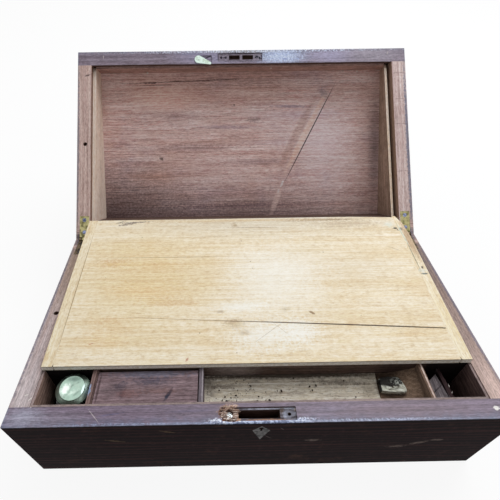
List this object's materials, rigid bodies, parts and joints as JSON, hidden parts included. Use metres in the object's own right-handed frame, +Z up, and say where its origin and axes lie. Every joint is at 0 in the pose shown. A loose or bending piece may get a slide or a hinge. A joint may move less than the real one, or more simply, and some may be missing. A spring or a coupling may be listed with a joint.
{
  "type": "writing box",
  "caption": "Sloping wooden writing box, open, with hinged lid, fold-down flap, and a well with inkwell, cover and pen tray.",
  "frame": {"origin": "middle of the underside of the base", "axes": "+Z up out of the base, -Y towards the lock side, +X to the right as seen from the lock side"},
  "size_m": [0.44, 0.47, 0.2376],
  "materials": {
    "case_mahogany": "old worn polish",
    "inner_mahogany": "ink-stained, unpolished",
    "lining_wood": "bare, aged",
    "flap_pine": "bare, pale, stained",
    "brass": "tarnished",
    "steel": "dull",
    "glass": "old, clear",
    "leather": "worn strip"
  },
  "bodies": {
    "base": {"base_bottom": "inner_mahogany", "base_front": "case_mahogany", "base_back": "case_mahogany", "base_side_left": "case_mahogany", "base_side_right": "case_mahogany", "base_ledge_left": "lining_wood", "base_ledge_right": "lining_wood", "base_ledge_back": "lining_wood", "well_floor": "inner_mahogany", "well_rail": "lining_wood", "well_lining_left": "inner_mahogany", "well_lining_right": "inner_mahogany", "well_lining_front": "inner_mahogany", "ink_divider": "inner_mahogany", "pen_divider": "inner_mahogany", "end_divider": "inner_mahogany", "cover_rests": "inner_mahogany", "tray_floor": "flap_pine", "tray_bearers": "inner_mahogany", "tray_scoop": "inner_mahogany", "tray_scrap": "lining_wood", "broken_slips": "inner_mahogany", "keyhole_plate": "brass", "lock_screw": "steel", "base_hinge_left": "brass", "base_hinge_right": "brass", "base_hinge_screws": "steel"},
    "hinge_pins": {"hinge_pins": "steel"},
    "lid": {"lid_top": "case_mahogany", "lid_front": "case_mahogany", "lid_back": "case_mahogany", "lid_side_left": "case_mahogany", "lid_side_right": "case_mahogany", "lid_ledge_left": "lining_wood", "lid_ledge_right": "lining_wood", "lid_ledge_front": "inner_mahogany", "lid_ledge_back": "lining_wood", "lid_hinge_left": "brass", "lid_hinge_right": "brass", "lid_hinge_screws": "steel", "catch_screw": "steel"},
    "turn_catch": {"turn_catch": "brass"},
    "flap_fold": {"flap_fold": "leather"},
    "flap": {"flap_board": "flap_pine", "flap_cleat_left": "flap_pine", "flap_cleat_right": "flap_pine"},
    "well_cover": {"well_cover": "case_mahogany"},
    "inkwell": {"inkwell_glass": "glass", "inkwell_collar": "brass"},
    "inkwell_cap": {"inkwell_cap": "brass"}
  },
  "joints": [
    {"name": "lid_close", "type": "hinge", "parent": "base", "child": "hinge_pins", "pos_m": [0, 0.124, 0.079], "axis": [-1, 0, 0], "range_deg": [-131.3, 0]},
    {"name": "lid_lay_back", "type": "hinge", "parent": "hinge_pins", "child": "lid", "pos_m": [0, 0.124, 0.079], "axis": [-1, 0, 0], "range_deg": [0, 48.6]},
    {"name": "flap_follow", "type": "hinge", "parent": "lid", "child": "flap_fold", "pos_m": [0, 0.14106, 0.09067], "axis": [-1, 0, 0], "range_deg": [0, 135.11]},
    {"name": "flap_lift", "type": "hinge", "parent": "flap_fold", "child": "flap", "pos_m": [0, 0.14106, 0.09067], "axis": [-1, 0, 0], "range_deg": [0, 135.1]},
    {"name": "catch_turn", "type": "hinge", "parent": "lid", "child": "turn_catch", "pos_m": [-0.0583, 0.31058, 0.22985], "axis": [0, 0.6305, -0.7762], "range_deg": [0, 70]},
    {"name": "cover_lift", "type": "slide", "parent": "base", "child": "well_cover", "axis": [0, 0, 1], "range_m": [0, 0.06]},
    {"name": "inkwell_lift", "type": "slide", "parent": "base", "child": "inkwell", "axis": [0, 0, 1], "range_m": [0, 0.08]},
    {"name": "cap_lift", "type": "slide", "parent": "inkwell", "child": "inkwell_cap", "axis": [0, 0, 1], "range_m": [0, 0.02]}
  ],
  "couplings": [
    {"joint": "flap_follow", "follows": "lid_close", "ratio": -1.029}
  ]
}
